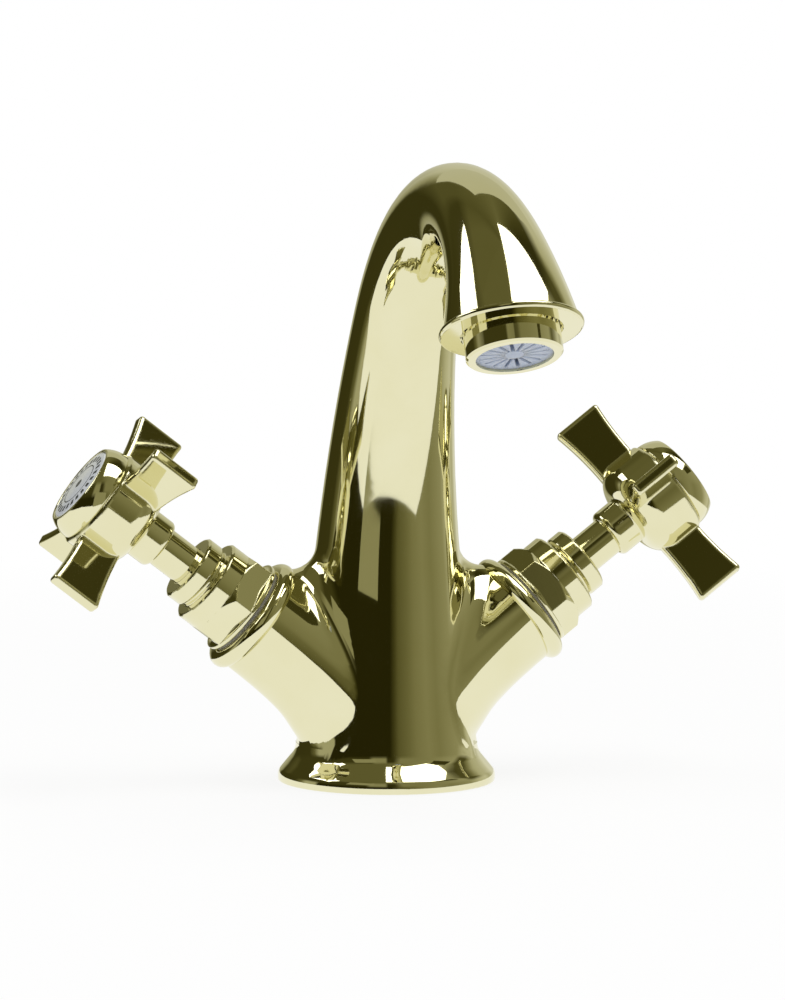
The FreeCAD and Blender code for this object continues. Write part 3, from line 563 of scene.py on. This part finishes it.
def grained(name, light, dark, scale, grain, bright, hazy, coat=0.0, metallic=0.0, milky=0.0):
    """A solid material with a speckled colour, a roughness that follows it and a fine grain."""
    material, tree, output = bare_material(name)
    polish = place_group(
        tree,
        WHEEL_POLISH,
        Vector=add(tree, "TexCoord").outputs["Object"],
        Cloud_scale=scale,
        Swell_scale=GRAINS_PER_SPECKLE * scale,
        Bright=bright,
        Hazy=hazy,
    )
    colour = ramp(tree, polish["Cloud"], list(zip(SPECKLE_STOPS, (light, dark))))
    normal = add(tree, "Bump", Height=polish["Swell"], Distance=grain, Strength=1.0).outputs[0]
    body = add(
        tree,
        "BsdfPrincipled",
        Base_Color=colour,
        Metallic=metallic,
        Roughness=polish["Roughness"],
        Normal=normal,
        Coat_Weight=coat,
        Coat_Roughness=COAT_ROUGHNESS,
        Subsurface_Weight=milky,
        Subsurface_Radius=(1.0, 1.0, 1.0),
        Subsurface_Scale=MILKY_DEPTH,
    )
    tree.links.new(body.outputs[0], output.inputs["Surface"])
    return material


finishes["porcelain"] = grained(
    "glazed_porcelain",
    light=(0.80, 0.83, 0.88),
    dark=(0.74, 0.78, 0.84),
    scale=300,
    grain=0.00001,
    bright=0.2,
    hazy=0.3,
    coat=1.0,
)
finishes["white_ceramic"] = grained(
    "lapped_ceramic",
    light=(0.85, 0.84, 0.80),
    dark=(0.78, 0.77, 0.73),
    scale=1500,
    grain=0.000003,
    bright=0.25,
    hazy=0.4,
)
finishes["pale_plastic"] = grained(
    "moulded_plastic",
    light=(0.47, 0.525, 0.65),
    dark=(0.42, 0.475, 0.60),
    scale=400,
    grain=0.00001,
    bright=0.3,
    hazy=0.45,
    milky=1.0,
)
# Painted shade: the washers' grey is darker than their own pale colour, to stand for the shade in the gaps
# where they sit.
finishes["white_washer"] = grained(
    "washer_fibre",
    light=(0.36, 0.35, 0.31),
    dark=(0.30, 0.29, 0.26),
    scale=900,
    grain=0.000004,
    bright=0.7,
    hazy=0.9,
)
finishes["steel"] = grained(
    "plain_stainless",
    light=(0.62, 0.61, 0.59),
    dark=(0.50, 0.49, 0.48),
    scale=700,
    grain=0.000004,
    bright=0.18,
    hazy=0.35,
    metallic=1.0,
)
finishes["black_rubber"] = grained(
    "seal_rubber",
    light=(0.030, 0.030, 0.031),
    dark=(0.018, 0.018, 0.019),
    scale=800,
    grain=0.00002,
    bright=0.55,
    hazy=0.8,
)
print("other finishes:", [name for name in finishes if "gold" not in name and "brass" not in name])

# %% Dress the nodes


def finish_for(node):
    """The finish of a node's slot, its side's own where there is one, or else the casting's plate."""
    slot = node.material_slots[0].name
    side = node.name.split("_")[0]
    return finishes.get(slot) or finishes.get(f"{side}_{slot}") or finishes["gold_casting"]


for node in nodes.values():
    node.material_slots[0].material = finish_for(node)
print("dressed", len(nodes), "nodes with", len(finishes), "finishes")

# %% [markdown]
# ## An even polish on the casting
# On a mirror, half a degree in the shading of a triangle shows as a ragged edge in the reflection.
# The polishing wheel takes such waves off the real casting. Here a merged copy gets new normals.
# Its vertices lie exactly on the surface, so a small curved patch is fitted through the neighbours of
# each one, and the normal is that of the patch. A finer mesh would also do, but it would be many
# times heavier. Edges that are sharp on the casting are split first, so they stay crisp. In the
# narrow neck above the foot the wall turns upright for a moment and would mirror the table as a thin
# white line, so the normals there lean a little upward instead.

# %% Even out the casting
MERGE_DISTANCE = 1e-6
SHARP_ANGLE = math.radians(30)
PATCH_ANGLE = math.radians(40)
PATCH_POINTS = 8
NECK_BAND = (0.0080, 0.0097)
NECK_LEAN = 0.16
LEDGE_LEVEL = 0.9


def fitted_normal(vertex):
    """The normal of a quadratic patch through the vertices within two edges of this one."""
    normal = vertex.normal
    side = normal.orthogonal().normalized()
    across = normal.cross(side)
    near = {edge.other_vert(vertex) for edge in vertex.link_edges}
    wide = near.union(edge.other_vert(other) for other in near for edge in other.link_edges)
    steps = [other.co - vertex.co for other in wide if normal.dot(other.normal) > math.cos(PATCH_ANGLE)]
    if len(steps) < PATCH_POINTS:
        return normal.copy()
    flat = [(step.dot(side), step.dot(across)) for step in steps]
    terms = np.array([(a, b, a * a, a * b, b * b) for a, b in flat])
    heights = np.array([step.dot(normal) for step in steps])
    slope = np.linalg.lstsq(terms, heights, rcond=None)[0]
    return (normal - side * slope[0] - across * slope[1]).normalized()


def polished_normal(vertex):
    """The fitted normal, but round the neck of the foot one that leans a little upward."""
    fitted = fitted_normal(vertex)
    upright_or_ledge = -NECK_LEAN < fitted.z < NECK_LEAN or fitted.z > LEDGE_LEVEL
    if upright_or_ledge and NECK_BAND[0] < vertex.co.z < NECK_BAND[1]:
        outward = Vector((vertex.co.x, vertex.co.y, 0)).normalized()
        return (outward + Vector((0, 0, NECK_LEAN))).normalized()
    return fitted


def even_copy(name, node):
    """A merged copy of a node's mesh with its sharp edges split and the polished normals set."""
    bm = bmesh.new()
    bm.from_mesh(node.data)
    bmesh.ops.remove_doubles(bm, verts=bm.verts, dist=MERGE_DISTANCE)
    bmesh.ops.recalc_face_normals(bm, faces=bm.faces)
    sharp = [edge for edge in bm.edges if edge.calc_face_angle(0) > SHARP_ANGLE]
    bmesh.ops.split_edges(bm, edges=sharp)
    bm.normal_update()
    normals = [polished_normal(vertex) for vertex in bm.verts]
    made = mesh_object(name, bm, node.material_slots[0].material)
    made.data.shade_smooth()
    made.data.normals_split_custom_set_from_vertices(normals)
    print(name, len(normals), "vertices,", len(sharp), "sharp edges")
    return made


casting = even_copy("polished_casting", nodes["body_casting"])
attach(casting, "tap_body")
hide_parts("body_casting")

# %% [markdown]
# ## Enamel marks on the buttons
# The porcelain buttons of such taps carry fired marks. Here they are plain ones: a ring of dashes,
# a thin line inside it and a dot. They could be painted with a mask in the material. Modelled
# as thin pads they keep a clean outline from close by. Each is laid out flat, stood on its
# valve's axis and then dropped onto the crowned face.

# %% Print the marks
FULL_TURN = 2 * math.pi
DASHES = 24
DASH_ANGLE = math.radians(8)
DASH_RADII = (0.0068, 0.0084)
DASH_STEPS = 4
LINE_RADII = (0.0054, 0.0057)
LINE_STEPS = 96
DOT_RADIUS = 0.0012
DOT_SEGMENTS = 24
DROP_HEIGHT = 1.0
MARK_LIFT = 0.00003
MARK_THICKNESS = 0.00005


def ring_strip(bm, radii, start, angle, steps):
    """A flat strip round the Z axis. A full turn is closed into a ring."""
    ends = [bm.verts.new((r * math.cos(start), r * math.sin(start), 0)) for r in radii]
    edge = bm.edges.new(ends)
    full = angle >= FULL_TURN
    bmesh.ops.spin(bm, geom=[*ends, edge], axis=(0, 0, 1), angle=angle, steps=steps, use_merge=full)


def index_marks(side, point, axis):
    """The marks of one button, which turn with its valve."""
    bm = bmesh.new()
    for number in range(DASHES):
        ring_strip(bm, DASH_RADII, FULL_TURN * number / DASHES, DASH_ANGLE, DASH_STEPS)
    ring_strip(bm, LINE_RADII, 0, FULL_TURN, LINE_STEPS)
    bmesh.ops.create_circle(bm, cap_ends=True, radius=DOT_RADIUS, segments=DOT_SEGMENTS)
    button = nodes[f"{side}_index_disc"]
    above = point + axis * DROP_HEIGHT
    bm.transform(Matrix.Translation(above) @ axis.to_track_quat("Z", "Y").to_matrix().to_4x4())
    for vertex in bm.verts:
        vertex.co = button.ray_cast(vertex.co, -axis)[1] + axis * MARK_LIFT
    bmesh.ops.solidify(bm, geom=bm.faces[:], thickness=MARK_THICKNESS)
    bmesh.ops.recalc_face_normals(bm, faces=bm.faces)
    marks = mesh_object(f"{side}_index_marks", bm, finishes["enamel"])
    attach(marks, f"{side}_valve")
    print(marks.name, len(marks.data.polygons), "faces")


finishes["enamel"] = grained(
    "fired_enamel",
    light=(0.07, 0.075, 0.085),
    dark=(0.05, 0.053, 0.06),
    scale=900,
    grain=0.000004,
    bright=0.2,
    hazy=0.3,
)
bpy.context.view_layer.update()
for side, axis in AXES.items():
    index_marks(side, *axis)

# %% [markdown]
# ## Threads in the foot
# Two tails and a stud screw into the underside. The solids have plain holes of the right size, and
# the thread is a ridge that winds up each wall. A ridge is spun from a bent edge with a step along the
# axis, the way that a screw-cutting tool travels.

# %% Cut the threads
THREAD_STEPS = 40
WALL_OVERLAP = 0.00002
RIDGE_START = 0.1
RIDGE_CREST = 0.5
RIDGE_END = 0.9
INLET_PLACES = {"hot": (-0.0095, 0, 0), "cold": (0.0095, 0, 0)}
INLET_THREAD = {"radius": 0.0045, "depth": 0.014, "pitch": 0.001}
STUD_PLACE = (0, 0.012, 0)
STUD_THREAD = {"radius": 0.0034, "depth": 0.016, "pitch": 0.00125}


def thread(name, centre, radius, depth, pitch):
    """A winding ridge with its crest towards the hole's axis, from the mouth to the depth."""
    bm = bmesh.new()
    wall = radius + WALL_OVERLAP
    profile = [(wall, RIDGE_START), (radius - pitch / 2, RIDGE_CREST), (wall, RIDGE_END)]
    points = [bm.verts.new((r, 0, share * pitch)) for r, share in profile]
    edges = [bm.edges.new(pair) for pair in zip(points, points[1:])]
    steps = int((depth / pitch - 1) * THREAD_STEPS)
    bmesh.ops.spin(
        bm,
        geom=points + edges,
        axis=(0, 0, 1),
        dvec=(0, 0, pitch / THREAD_STEPS),
        angle=FULL_TURN * steps / THREAD_STEPS,
        steps=steps,
    )
    bmesh.ops.translate(bm, vec=centre, verts=bm.verts)
    ridge = mesh_object(name, bm, finishes["gold_casting"])
    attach(ridge, "tap_body")
    print(name, "turns:", round(steps / THREAD_STEPS, 1))


for side, place in INLET_PLACES.items():
    thread(f"{side}_inlet_thread", place, **INLET_THREAD)
thread("stud_thread", STUD_PLACE, **STUD_THREAD)
